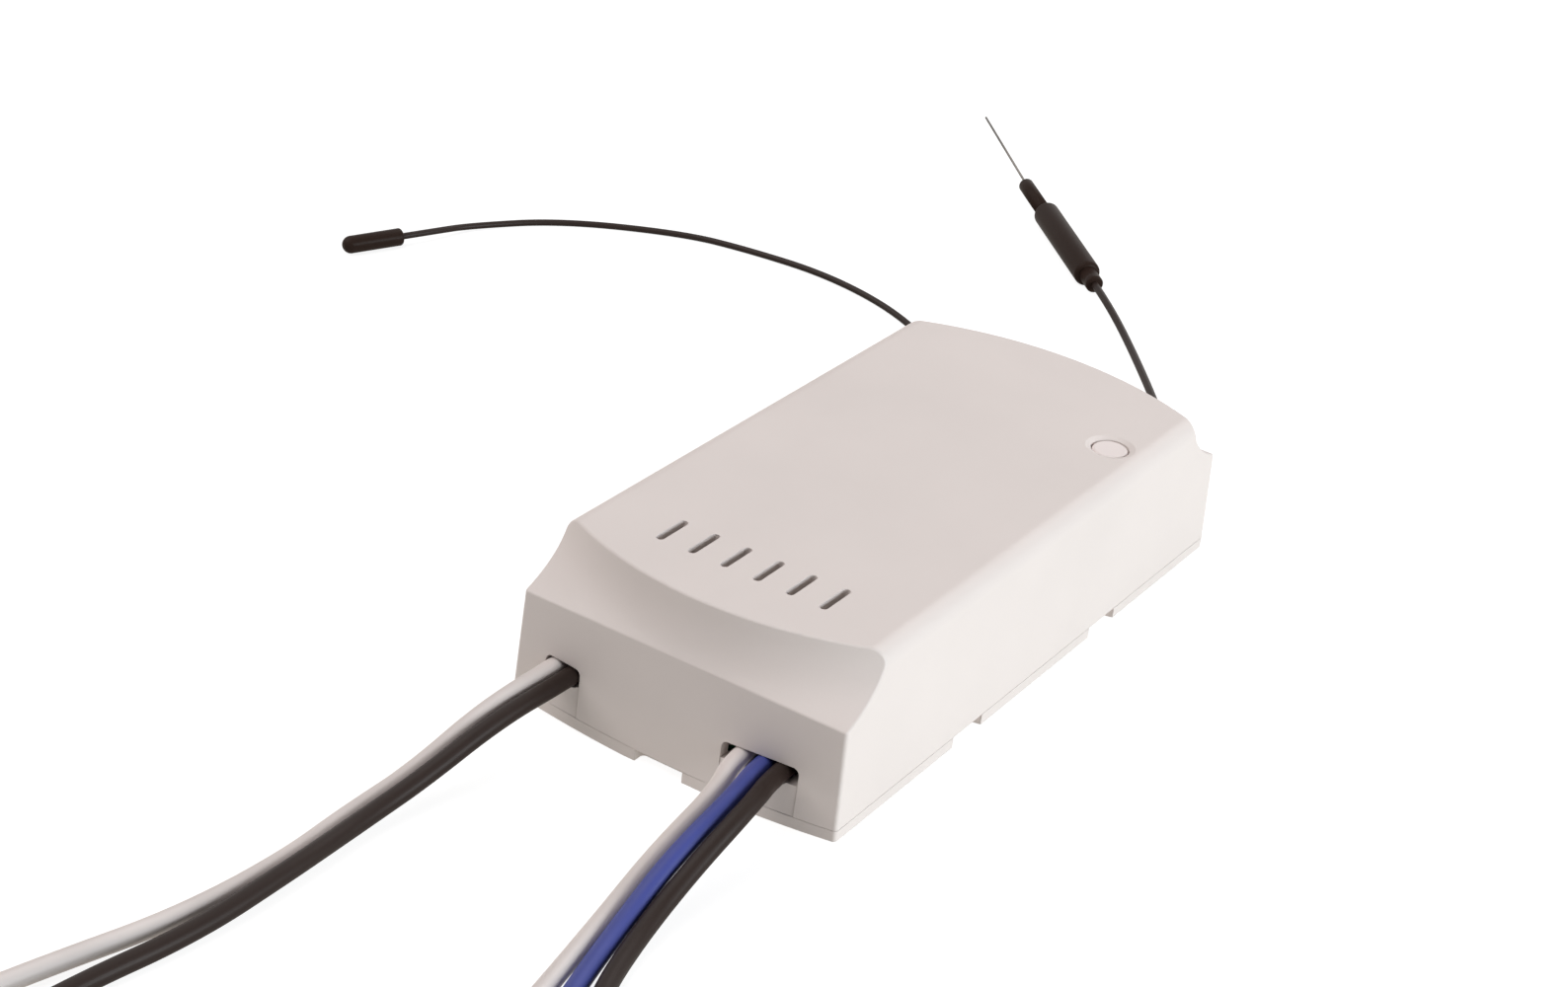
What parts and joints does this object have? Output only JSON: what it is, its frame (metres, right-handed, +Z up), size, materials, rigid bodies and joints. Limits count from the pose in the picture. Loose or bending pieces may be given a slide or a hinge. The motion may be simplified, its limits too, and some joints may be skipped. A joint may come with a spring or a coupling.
{
  "type": "ceiling fan controller",
  "caption": "Moulded controller for a ceiling fan and its light, with mains leads at one end, wire antennas at the other, a pairing button in its top and a relay board inside.",
  "frame": {"origin": "middle of the case's underside, on the surface that the case stands on", "axes": "+X across the case towards the side that the button is nearer to, +Y along the case from the lead end to the antenna end, +Z up through the cover"},
  "size_m": [0.1997, 0.3961, 0.0288],
  "materials": {
    "antenna_black": "satin",
    "black_plastic": "matte",
    "board_blue": "satin",
    "board_green": "satin",
    "bright_metal": "satin",
    "button_plastic": "satin, warm white",
    "can_sleeve": "gloss sleeve",
    "capacitor_grey": "satin",
    "capacitor_yellow": "satin",
    "case_plastic": "satin, warm white",
    "copper_wire": "gloss",
    "ferrite": "matte",
    "fuse_plastic": "satin",
    "gold_contact": "satin",
    "lead_black": "satin",
    "lead_blue": "satin",
    "lead_white": "satin",
    "relay_plastic": "satin",
    "tinned_copper": "satin, stranded",
    "varistor_blue": "gloss",
    "winding_tape": "satin"
  },
  "bodies": {
    "case": {"cover": "case_plastic", "base": "case_plastic", "switch_body": "black_plastic", "switch_dome": "bright_metal", "main_board": "board_green", "board_screws": "bright_metal", "line_capacitor": "capacitor_yellow", "transformer_core": "ferrite", "transformer_winding": "winding_tape", "bulk_capacitor": "can_sleeve", "output_capacitor": "can_sleeve", "fuse": "fuse_plastic", "varistor": "varistor_blue", "bridge_rectifier": "black_plastic", "choke_core": "ferrite", "choke_winding": "copper_wire", "driver_chip": "black_plastic", "buzzer": "black_plastic", "wifi_module": "board_blue", "wifi_shield": "bright_metal", "coax_plug": "gold_contact", "radio_board": "board_blue", "radio_crystal": "bright_metal", "lead_tabs": "bright_metal", "whip_tab": "bright_metal", "whip_wire": "antenna_black", "whip_cap": "antenna_black", "wifi_coax": "antenna_black", "wifi_ferrule": "antenna_black", "wifi_sleeve": "antenna_black", "wifi_neck": "antenna_black", "wifi_element": "bright_metal", "relay_1": "relay_plastic", "relay_2": "relay_plastic", "relay_3": "relay_plastic", "relay_4": "relay_plastic", "speed_capacitor_1": "capacitor_grey", "speed_capacitor_2": "capacitor_grey", "neutral_lead": "lead_white", "neutral_lead_tip": "tinned_copper", "line_lead": "lead_black", "line_lead_tip": "tinned_copper", "load_neutral_lead": "lead_white", "load_neutral_lead_tip": "tinned_copper", "light_lead": "lead_blue", "light_lead_tip": "tinned_copper", "fan_lead": "lead_black", "fan_lead_tip": "tinned_copper"},
    "button": {"button_cap": "button_plastic", "switch_plunger": "black_plastic"}
  },
  "joints": [
    {"name": "button_press", "type": "slide", "parent": "case", "child": "button", "axis": [0, 0, -1], "range_m": [0, 0.00035], "stiffness_N_per_m": 3000, "springref_m": -0.0002}
  ]
}
